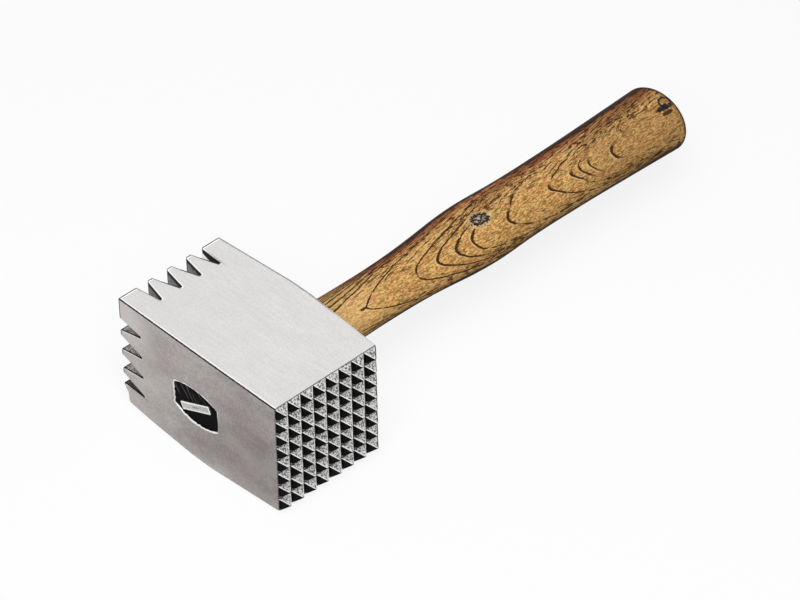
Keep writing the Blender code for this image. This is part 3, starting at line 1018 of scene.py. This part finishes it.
class Value:
    """A number from a node's output. Arithmetic on it adds Math nodes to the same tree."""

    def __init__(self, socket):
        self.socket = socket

    def sum(self, operation, *others):
        """Return the result of one Math node on this number and the others."""
        inputs = dict(enumerate((self, *others)))
        return Value(node(self.socket.id_data, "Math", inputs, operation=operation).outputs[0])

    def __rsub__(self, other):
        return self * -1 + other

    __add__ = __radd__ = partialmethod(sum, "ADD")
    __mul__ = __rmul__ = partialmethod(sum, "MULTIPLY")
    __sub__ = partialmethod(sum, "SUBTRACT")
    __truediv__ = partialmethod(sum, "DIVIDE")
    __abs__ = partialmethod(sum, "ABSOLUTE")


def most(first, *others):
    """Return the largest of several numbers."""
    for other in others:
        first = first.sum("MAXIMUM", other)
    return first


def ease(value, low, high, to_low=0.0, to_high=1.0):
    """Return value carried from the range low..high to another, held at its ends and eased."""
    inputs = {0: value, 1: low, 2: high, 3: to_low, 4: to_high}
    made = node(value.socket.id_data, "MapRange", inputs, interpolation_type="SMOOTHSTEP")
    return Value(made.outputs[0])


def fade(value, full, none):
    """Return a number that falls from 1 at full to 0 at none."""
    return ease(value, full, none, 1.0, 0.0)


def band(value, start, full, fall, end):
    """Return a number that rises from 0 at start to 1 at full, and falls from fall to end."""
    return ease(value, start, full) * fade(value, fall, end)


# %% Colours in coats
def paint(red, green, blue):
    """Return a colour given as 0 to 255 per channel, in the linear values that shaders use."""
    share = np.array([red, green, blue]) / 255
    linear = np.where(share <= 0.04045, share / 12.92, ((share + 0.055) / 1.055) ** 2.4)
    return (*linear.tolist(), 1.0)


def mix(share, under, over):
    """Return one colour where share is 0 and the other where it is 1.

    Each is a node's output, or three numbers from 0 to 255.
    """
    under, over = (paint(*part) if isinstance(part, tuple) else part for part in (under, over))
    inputs = {0: share, 6: under, 7: over}
    return node(share.socket.id_data, "Mix", inputs, data_type="RGBA").outputs[2]


def coats(colour, *layers):
    """Return a colour under further coats. Each is a share and a colour, the lowest coat first."""
    for share, over in layers:
        colour = mix(share, colour, over)
    return colour


# %% Places, noise and stored numbers
SPECULAR = "Specular IOR Level"


def object_place(tree):
    """Return the place on the object as a vector, and as its x, y and z."""
    place = node(tree, "TexCoord").outputs["Object"]
    return place, [Value(part) for part in node(tree, "SeparateXYZ", {0: place}).outputs]


def measured_from(place, centre=(0, 0, 0), turns=(0, 0, 0), sizes=(1, 1, 1)):
    """Return places measured from a centre, along turned axes, as shares of the given sizes."""
    inputs = {"Vector": place, "Location": centre, "Rotation": turns, "Scale": sizes}
    return node(place.id_data, "Mapping", inputs, vector_type="TEXTURE").outputs[0]


def distance_from(place, centre, sizes, turns=(0, 0, 0)):
    """Return the distance from a centre as a share of the half sizes: 1 is an ellipsoid's skin."""
    local = measured_from(place, centre, turns, sizes)
    return Value(node(place.id_data, "VectorMath", {0: local}, operation="LENGTH").outputs["Value"])


def grain(place, sizes, detail=2.0, seed=0.0):
    """Return noise from 0 to 1 with features of the given size, or of three along X, Y and Z."""
    scale = tuple(1 / size for size in np.broadcast_to(sizes, 3).tolist())
    inputs = {"Vector": place, "Location": (seed, seed, seed), "Scale": scale}
    moved = node(place.id_data, "Mapping", inputs).outputs[0]
    inputs = {"Vector": moved, "Scale": 1.0, "Detail": detail}
    return Value(node(place.id_data, "TexNoise", inputs).outputs[0])


def attributes(tree, *names):
    """Return the numbers stored on the mesh under these names."""
    return [Value(node(tree, "Attribute", attribute_name=name).outputs["Fac"]) for name in names]


def new_finish(name, settings):
    """Return a new material, its node tree and its Principled shader with these settings."""
    material = bpy.data.materials.new(name)
    material.use_nodes = True
    shader = material.node_tree.nodes["Principled BSDF"]
    for key, value in settings.items():
        shader.inputs[key].default_value = value
    return material, material.node_tree, shader


def finish_with(tree, shader, colour, roughness, height, bump_strength, bump_depth):
    """Link colour, roughness and bump into the shader."""
    inputs = {"Height": height, "Strength": bump_strength, "Distance": bump_depth}
    bump = node(tree, "Bump", inputs)
    tree.links.new(colour, shader.inputs["Base Color"])
    tree.links.new(roughness.socket, shader.inputs["Roughness"])
    tree.links.new(bump.outputs[0], shader.inputs["Normal"])


# %% [markdown]
# ## Finish: ground aluminium
# The casting was ground on a belt, so its top is an even pale grey with faint scratches along its
# length, while the front and back are left warmer and rougher, with painted light towards the
# coarse end and painted shade low by the fine end. Lips, creases, tooth tips, the front edge and
# the eye's rim get painted highlights; the outermost rims, the groove floors, far lips, valleys and
# the long front edge get painted shade, and the points' flanks are painted in shade. Inside the
# grooves the dark skin of the mould is left, darkened further as painted shade. The stored
# distances say where each of these starts and ends, in millimetres, and noise makes the borders
# uneven.

# %% Make the aluminium
GROUND = (158, 157, 156), (180, 179, 178)
CAST_SIDE = (157, 150, 148), (187, 181, 178)
WORN_PALE, STAINED = (216, 210, 207), (116, 110, 107)
LEVEL_SKIN, UPRIGHT_SKIN = ((66, 64, 63), (158, 155, 153)), ((100, 98, 97), (150, 147, 146))
POINT_PALE, POINT_DARK = ((58, 57, 56), (198, 197, 195)), ((4, 4, 4), (27, 26, 26))
SHADOW, WHITE, RUBBED, GREASE = (26, 25, 25), (255, 255, 255), (246, 245, 244), (9, 9, 9)
LAST_WALL = 17.1 * MM


def ground_aluminium():
    """Return the head's material."""
    material, tree, shader = new_finish("ground_aluminium", {"Metallic": 1.0})
    place, (x, y, z) = object_place(tree)
    mottle = grain(place, 0.7 * MM, 4.0)
    speckle = grain(place, 0.45 * MM, 2.0, 8.0)
    spots = grain(place, 1.1 * MM, 3.0, 5.0)
    ripple = grain(place, 2.4 * MM, 2.0, 2.0)
    cloud = grain(place, (18 * MM, 9 * MM, 9 * MM), 3.0, 3.0)
    scratch = grain(place, (16 * MM, 0.4 * MM, 0.4 * MM), 3.0, 7.0)
    bright, line, groove, wall, points, flank, hidden, facet = attributes(
        tree, "bright_rim", "dark_line", "groove_skin", "upright_wall", "point_skin", "dark_flank",
        "hidden_lip", "facet_gap",
    )
    wobble = spots * 0.5 - 0.25
    stored = attributes(tree, "past_lip", "past_end", "off_edge")
    lip, end, edge = (distance + wobble for distance in stored)
    mouth = attributes(tree, "past_mouth")[0] + (ripple * 2.2 - 1.1)
    side = ease(wall, 0.5, 0.75)
    on_wall, on_top = side * groove, (1 - side) * (1 - groove)
    behind_end = ease(x, 0.1 * MM - COARSE_REACH, 0.5 * MM - COARSE_REACH)

    # The ground top, and the warmer sides, with painted light by the coarse end and painted shade
    # low by the fine end.
    tone = mottle * 0.5 + scratch * 0.35 + cloud * 0.15
    high = ease(z, 25 * MM, 55 * MM)
    cast_side = coats(
        mix(ease((spots + cloud) * 0.5, 0.34, 0.66), *CAST_SIDE),
        (ease(x, -22 * MM, -48 * MM) * (high * 0.4 + 0.25), WORN_PALE),
        (ease(x, 5 * MM, 40 * MM, 0.0, 0.2) * (1 - high), STAINED),
    )

    # The skin of the mould in the grooves, darkened further as painted shade, with painted shadow
    # in the lowest level groove. The last upright groove's far wall gets a painted white highlight.
    level_skin = mix(ease(mottle, 0.4, 0.6), *LEVEL_SKIN)
    skin = mix(side, level_skin, mix(ease(spots, 0.3, 0.7), *UPRIGHT_SKIN))
    last = ease(y, LAST_WALL, LAST_WALL + 0.3 * MM) * on_wall * ease(z, 49 * MM, 51 * MM)
    lowest = fade(z, AXIS_HEIGHT - 16 * MM, AXIS_HEIGHT - 15 * MM) * (1 - side)
    skin = coats(skin, (lowest * 0.7, SHADOW), (last, WHITE))

    # Painted highlights: creases of the points, lips of the grooves, tips of the teeth, front edge,
    # eye's rim.
    crease = ease(bright, 0.3, 0.7) * ease(speckle, 0.3, 0.5, 0.6, 1.0)
    halo = band(lip, -0.7, -0.5, -0.1, 0.0) * (0.6 - side * 0.1) * (1 - hidden * 0.8) * behind_end
    tip = band(end, -1.6, -1.4, -1.2, -1.0) * on_top * 0.55
    beside = band(edge, 0.5, 0.7, 0.9, 1.4) * on_top * ease(y, -5 * MM, 5 * MM, 0.3, 0.0)
    upper = ease(z, AXIS_HEIGHT, AXIS_HEIGHT + 3 * MM, 0.0, 0.35)
    rubbed = most(crease, halo, tip, beside, band(mouth + upper, -0.7, -0.5, 0.3, 0.45) * 0.95)

    # Painted shade: valleys, groove floors, the ends of teeth, far lips, long edges, walls and the
    # eye.
    floor_start = GROOVE_DEPTH - COARSE_REACH - 3.2 * MM
    deep = ease(x + side * (1.3 * MM), floor_start, floor_start + 1.2 * MM) * groove
    outer = band(end, -1.1, -0.9, 0.05, 0.2) * (groove * 0.15 + 0.8)
    outer = most(outer, band(end, -1.8, -1.6, -0.4, -0.2) * on_wall) * (1 - last)
    far_lip = band(lip, -1.0, -0.8, 0.0, 0.15) * hidden * on_top * behind_end
    far_lip = far_lip * ease(x, 4.5 * MM - COARSE_REACH, 6 * MM - COARSE_REACH, 0.6, 1.0)
    at_back = ease(y, -5 * MM, 5 * MM) * ease(x, 10 * MM, 30 * MM, 0.4, 0.95)
    long_edge = ease(edge, 0.42, 0.6, 0.92, 0.0) * (1 - at_back)
    wide = side * 1.4 + (x + COARSE_REACH) * 300 * last + 0.6
    below_lip = ease(lip, 0.0, 0.1) * fade(lip - wide, 0.0, 0.3) * groove
    valley = ease(line, 0.25, 0.7) * ease(mottle, 0.2, 0.45, 0.6, 0.95)
    greasy = most(valley, deep, outer, far_lip, long_edge, below_lip, ease(mouth, 0.45, 0.6))

    colour = coats(
        mix(ease(tone, 0.3, 0.7), *GROUND),
        (side, cast_side),
        (groove, skin),
        (points * 0.9, mix(ease(mottle, 0.4, 0.58), *POINT_PALE)),
        # Painted shade on the points' front and back flanks.
        (flank, mix(ease(facet, 0.4, 1.0), *POINT_DARK)),
        (rubbed, RUBBED),
        (greasy, GREASE),
    )
    roughness = ease(tone, 0.3, 0.7, 0.40, 0.50) + most(flank, groove) * 0.15 - rubbed * 0.10
    finish_with(tree, shader, colour, roughness, tone, 0.25, 0.05 * MM)
    return material


# %% [markdown]
# ## Finish: oiled wood
# Ring-porous wood, oiled: golden tan with dark ring lines. Where a ring comes out flat, at the tip
# of an arch, its line is broad and brown with a pale edge. On the flanks the rings are cut
# lengthwise and break into short dashes, each with a painted glint beside it, and open pores add
# dashes of their own. One side has red heartwood with a streak of painted shade at its edge, and
# the underside and the butt's rim are darkened as painted shade. The neck is lifted by painted
# light, and the wood is darker towards the butt. There is a knot in the palm swell, a bud with a
# blot and a stroke beside it at the butt, and a pin knot at the neck. The end grain in the eye is
# almost black, dark with oil and painted shade of its recess, with pale strokes only in its upper
# part.

# %% Make the wood
KNOTS = {
    "palm": ((5.4, 136, 44.9), (3.6, 5.4, 3.6)),
    "bud": ((6.7, 256.4, 46.6), (3.2, 3.2, 3.2)),
    "blot": ((8.4, 253.3, 45.8), (1.7, 4.4, 1.7)),
    "stroke": ((11.4, 253.7, 44.4), (2.2, 3.6, 0.8)),
    "pin": ((9.6, 59.5, 40.4), (0.9, 2.4, 0.9)),
}
PALM_TURN = math.radians(-10)
END_GRAIN_TURN = math.radians(-36)


def knot_distance(place, name, turn=0.0):
    """Return the distance from a knot's middle, where 1 is its border."""
    centre, sizes = (tuple(MM * part for part in parts) for parts in KNOTS[name])
    return distance_from(place, centre, sizes, (0, 0, turn))


def wood_grain(place, across, along, detail, seed=0.0):
    """Return noise drawn out along the fibres, with features of these sizes in millimetres."""
    return grain(place, (across * MM, along * MM, across * MM), detail, seed)


def oiled_wood():
    """Return the handle's material."""
    material, tree, shader = new_finish("oiled_wood", {SPECULAR: 0.04})
    place, (x, y, z) = object_place(tree)
    ring, gap, off_face, heart, under, butt_rim = attributes(
        tree, "ring", "ring_gap", "off_face", "heartwood", "underside", "butt_rim"
    )
    fibre = wood_grain(place, 0.65, 2.6, 3.0)
    pale_fibre = wood_grain(place, 0.7, 2.6, 2.0, 11.0)
    mottle = wood_grain(place, 0.42, 1.5, 1.0, 5.0)
    patches = wood_grain(place, 0.9, 2.8, 2.0, 17.0)
    hue = wood_grain(place, 2.4, 7.0, 3.0, 15.0)
    pores = wood_grain(place, 1.1, 5.0, 1.0, 9.0)
    wobble = mottle * 0.5 - 0.25
    neck = fade(y, 50 * MM, 85 * MM)

    def along_lines(changes, length, detail, seed):
        """Return noise of a given length along the lines, with this many changes to a ring."""
        spot = node(tree, "CombineXYZ", {0: ring * changes, 1: y}).outputs[0]
        return grain(spot, (1.0, length, 1.0), detail, seed)

    def past_line(count):
        """Return how far past the nearest line a spot is, in mm, with count lines to a ring."""
        whole = ring * count + 0.5
        share = whole.sum("FRACT") - 0.5
        return share * (gap * (1000 / count)) + wobble

    # Ring lines: broad at the tips of the arches, and broken further off.
    past = past_line(1.0)
    apex = fade(off_face, 7.0, 20.0)
    breaks = along_lines(4.0, 5 * MM, 2.0, 1.0)
    missing = ease(y, 70 * MM, 190 * MM, 0.32, 0.52)
    kept = most(ease(breaks - missing, 0.0, 0.05), apex * ease(breaks, 0.3, 0.4))
    fading = fade(past / (apex * 0.45 + 0.75) - 1, -0.2, 0.25)
    line = ease(past, -0.15, 0.0) * fading * kept
    pale = band(past, -1.1, -0.5, -0.35, -0.1) * kept * apex

    # Dashes on the flanks, each with a painted glint beside it, and open pores. Both are fewer at
    # the neck.
    dashes = along_lines(13.0, 5.5 * MM, 1.0, 4.0)
    beside = abs(past_line(2.5))
    sparse = 1 - neck * 0.55
    dash = fade(beside, 0.42, 0.58) * ease(dashes, 0.55, 0.575)
    dash = dash * ease(off_face, 20.0, 36.0, 0.05, 1.0) * sparse
    glint = band(beside, 0.58, 0.7, 1.0, 1.2) * ease(dashes, 0.52, 0.56)
    glint = glint * ease(off_face, 20.0, 36.0, 0.0, 0.75)
    pore = ease(pores, 0.59, 0.61) * ease(off_face, 15.0, 45.0, 0.4, 1.0) * sparse

    # Heartwood, with a streak of painted shade at its edge; painted shade on the underside and the
    # butt's rim; painted light on the neck; darker towards the butt.
    redder = heart + ease(y, 90 * MM, 225 * MM, 0.0, 0.18) + (pores * 0.4 - 0.2) - neck * 0.4
    stained = most(ease(redder, 0.3, 0.6), ease(under, 0.14, 0.4), ease(butt_rim, 0.2, 0.5))
    dark = most(
        ease(redder, 0.42, 0.53) * fade(heart, 0.77, 0.87),
        band(under, 0.14, 0.24, 0.52, 0.66),
        band(butt_rim, 0.26, 0.36, 0.74, 0.9),
        fade(y, SHOULDER + 0.6 * MM, SHOULDER + 1.2 * MM),
    )
    colour = coats(
        mix(ease(mottle * 0.7 + patches * 0.3, 0.41, 0.59), (166, 119, 60), (240, 193, 121)),
        (ease(hue, 0.5, 0.66, 0.0, 0.45), (214, 134, 78)),
        (ease(hue, 0.32, 0.44, 0.35, 0.0), (194, 158, 90)),
        (ease(pale_fibre, 0.56, 0.64, 0.0, 0.5), (246, 212, 150)),
        (ease(fibre, 0.54, 0.64, 0.0, 0.65), (130, 86, 44)),
        # Painted light on the neck, beside the head.
        (neck * 0.35, (250, 208, 140)),
        (ease(redder, -0.15, 0.38, 0.0, 0.72), (150, 68, 36)),
        (ease(under, 0.0, 0.36, 0.0, 0.4), (112, 76, 42)),
        (ease(y, 180 * MM, 225 * MM, 0.0, 0.26), (110, 84, 58)),
        (pale * 0.55, (238, 208, 154)),
        (glint, (240, 206, 146)),
        (dash * 0.95, (60, 30, 16)),
        (pore * 0.9, (66, 34, 18)),
        (line * 0.96, (56, 30, 18)),
        (stained * ease(fibre, 0.4, 0.65, 0.38, 0.5), (96, 50, 30)),
        (dark * 0.94, (38, 20, 12)),
    )

    # Knots, with spiky or rippled borders.
    spikes = grain(place, (1.3 * MM, 1.1 * MM, 1.3 * MM), 2.0, 6.0) * 1.2 - 0.6
    palm = knot_distance(place, "palm", PALM_TURN) + spikes
    blot = knot_distance(place, "blot") + spikes
    bud, stroke, pin = (knot_distance(place, name) + wobble for name in ("bud", "stroke", "pin"))
    palm_paint = mix(ease(mottle, 0.5, 0.56), (28, 34, 32), (196, 172, 158))
    colour = coats(
        colour,
        (ease(palm, 1.0, 1.5, 0.5, 0.0), (226, 196, 150)),
        (ease(palm, 0.75, 0.85, 0.95, 0.0), palm_paint),
        (band(palm, 0.5, 0.65, 0.85, 1.0) * 0.95, (22, 30, 28)),
        (band(bud, 0.68, 0.82, 1.05, 1.2) * 0.95, (36, 24, 26)),
        (ease(blot, 0.8, 1.0, 0.95, 0.0), (16, 30, 38)),
        (ease(stroke, 0.8, 1.0, 0.9, 0.0), (58, 34, 22)),
        (ease(pin, 0.8, 1.0, 0.9, 0.0), (52, 24, 20)),
    )

    # End grain in the eye: black, dark with oil and painted shade of the recess, with pale strokes
    # only in its upper part.
    steep = measured_from(place, turns=(0, END_GRAIN_TURN, 0))
    strokes = ease(grain(steep, (1.25 * MM, 1.0, 14.0 * MM), 0.0, 2.0), 0.56, 0.64)
    upper = ease(z, AXIS_HEIGHT - MM, AXIS_HEIGHT + 2 * MM) * fade(x, 3 * MM, 8 * MM)
    in_eye = fade(y, TENON_END + 0.3 * MM, TENON_END + 1.2 * MM)
    colour = mix(in_eye, colour, mix(strokes * upper, (6, 6, 6), (88, 86, 82)))

    roughness = ease(fibre, 0.3, 0.7, 0.55, 0.70)
    finish_with(tree, shader, colour, roughness, fibre * 0.6 - pore * 0.6, 0.4, 0.08 * MM)
    return material


# %% [markdown]
# ## Finish: hammered steel
# The wedge's face is pale where the hammer struck it, with dents and one dark scar, and its rim
# carries a painted highlight.

# %% Make the steel
SCAR_SIZES = (3.2 * MM, 4 * MM, 0.3 * MM)


def hammered_steel():
    """Return the wedge's material."""
    material, tree, shader = new_finish("hammered_steel", {"Metallic": 1.0})
    place = object_place(tree)[0]
    dents = grain(place, 1.2 * MM)
    fine = grain(place, 0.3 * MM, 3.0, 4.0)
    middle = EYE_LEAN + (WEDGE_MIDDLE[0], WEDGE_TOP, WEDGE_MIDDLE[1] + AXIS_HEIGHT)
    turn = -math.atan2(WEDGE_SPAN[1], WEDGE_SPAN[0])
    scar = distance_from(place, tuple(middle), SCAR_SIZES, (0, turn, 0))
    colour = coats(
        mix(ease(fine, 0.36, 0.62), (156, 155, 153), (222, 221, 219)),
        (ease(scar, 0.7, 1.1, 0.75, 0.0), (70, 68, 66)),
        (ease(attributes(tree, "bright_rim")[0], 0.3, 0.6), (246, 246, 245)),
    )
    finish_with(tree, shader, colour, ease(dents, 0.3, 0.7, 0.30, 0.44), dents, 0.3, 0.08 * MM)
    return material


# %% [markdown]
# ## Dress the frame
# Each skin now stands for its CAD node. The CAD solids stay in the file for collision, hidden.

# %% Put the pieces on the frame
add_piece("head_casting", head_mesh, "head_block", ground_aluminium())
add_piece("handle_stick", handle_mesh, "wooden_handle", oiled_wood())
add_piece("wedge_bar", wedge_mesh, "metal_wedge", hammered_steel())

# %% [markdown]
# ## Floor and light
# The mallet stands on its lower face on a plain white floor. A large soft box near the camera
# lights the wood from the front, so that it darkens towards both outlines, and is kept out of
# reflections, where it would be a glaring patch. One overhead fills the floor. A third, behind and
# above, shows only in reflections: it is the sheen on the top face. So does a grey card on the
# floor in front, which the front face mirrors. Each lamp's power is worked out from how bright it
# should look, where 1 is white.

# %% Make the floor and the lamps
FLOOR_REACH = 30
FLOOR_WHITE = 0.85
BOUNCE_GREY = 0.4
FLOOR_DROP, CARD_RISE = 0.05 * MM, 0.3 * MM
CARD_GREY = 0.75
WORLD_LIGHT, WORLD_WHITE = 0.15, 1.0


def seen_directly(tree):
    """Return 1 for rays that show the background: from the camera, in a gloss or through glass."""
    rays = node(tree, "LightPath").outputs
    kinds = ("Is Camera Ray", "Is Glossy Ray", "Is Transmission Ray")
    return most(*(Value(rays[kind]) for kind in kinds))


def pale_floor():
    """Return the floor: matt white that keeps the mallet's shadow, lifted towards plain white.

    For light that bounces off it on to the wood it is grey, so that the outlines stay dark.
    """
    material, tree, shader = new_finish("pale_floor", {"Roughness": 1.0, SPECULAR: 0.0})
    seen = seen_directly(tree)
    shade = ease(seen, 0.0, 1.0, BOUNCE_GREY, 1.0)
    tree.links.new(shade.socket, shader.inputs["Base Color"])
    glow = node(tree, "Emission", {"Color": (1, 1, 1, 1), "Strength": 1.0}).outputs[0]
    inputs = {0: seen * FLOOR_WHITE, 1: shader.outputs[0], 2: glow}
    mixed = node(tree, "MixShader", inputs).outputs[0]
    tree.links.new(mixed, tree.nodes["Material Output"].inputs["Surface"])
    return material


def level_sheet(name, low, high, z, finish):
    """Add a flat sheet to the studio, between two corners given as x and y."""
    (x0, y0), (x1, y1) = low, high
    mesh = bpy.data.meshes.new(name)
    mesh.from_pydata([(x0, y0, z), (x1, y0, z), (x1, y1, z), (x0, y1, z)], [], [(0, 1, 2, 3)])
    mesh.materials.append(finish)
    sheet = add_object(name, mesh)
    return sheet


reach = np.array([FLOOR_REACH, FLOOR_REACH])
level_sheet("floor", -reach, reach, -FLOOR_DROP, pale_floor())


def soft_box(name, spot, aim, width, height, brightness):
    """Add a rectangular lamp at spot that faces aim. Its power is brightness * pi * area."""
    lamp = bpy.data.lights.new(name, "AREA")
    lamp.shape, lamp.size, lamp.size_y = "RECTANGLE", width, height
    lamp.energy = brightness * math.pi * width * height
    item = add_object(name, lamp)
    away = np.array(spot) - np.array(aim)
    away = away / np.linalg.norm(away)
    across = np.cross([0, 0, 1], away)
    across = across / np.linalg.norm(across)
    axes = np.stack([across, np.cross(away, across), away], axis=1)
    item.matrix_world = Matrix.Translation(spot) @ Matrix(axes.tolist()).to_4x4()
    return item


front_box = soft_box("front_box", (0.75, -0.8, 1.5), (0, 0.1, 0), 1.4, 1.4, 4.1)
front_box.visible_glossy = False
soft_box("top_box", (0.1, -0.1, 1.6), (0, 0, 0), 1.2, 1.2, 1.6)
sheen = soft_box("back_box", (-0.3, 0.95, 1.0), (0, 0.05, 0.05), 3.4, 1.4, 1.045)
sheen.visible_diffuse = False

card_settings = {"Base Color": (CARD_GREY, CARD_GREY, CARD_GREY, 1), SPECULAR: 0.0}
card_finish = new_finish("dark_card", card_settings)[0]
low_corner, high_corner = np.array([(-25, -150), (85, -34)]) * MM
card = level_sheet("dark_card", low_corner, high_corner, CARD_RISE, card_finish)
card.visible_camera = card.visible_diffuse = card.visible_shadow = False

world = bpy.data.worlds.new("studio")
bpy.context.scene.world = world
world.use_nodes = True
tree = world.node_tree
strength = ease(seen_directly(tree), 0.0, 1.0, WORLD_LIGHT, WORLD_WHITE)
tree.links.new(strength.socket, tree.nodes["Background"].inputs["Strength"])
tree.nodes["Background"].inputs["Color"].default_value = (1, 1, 1, 1)
bpy.context.scene.view_settings.view_transform = "Standard"
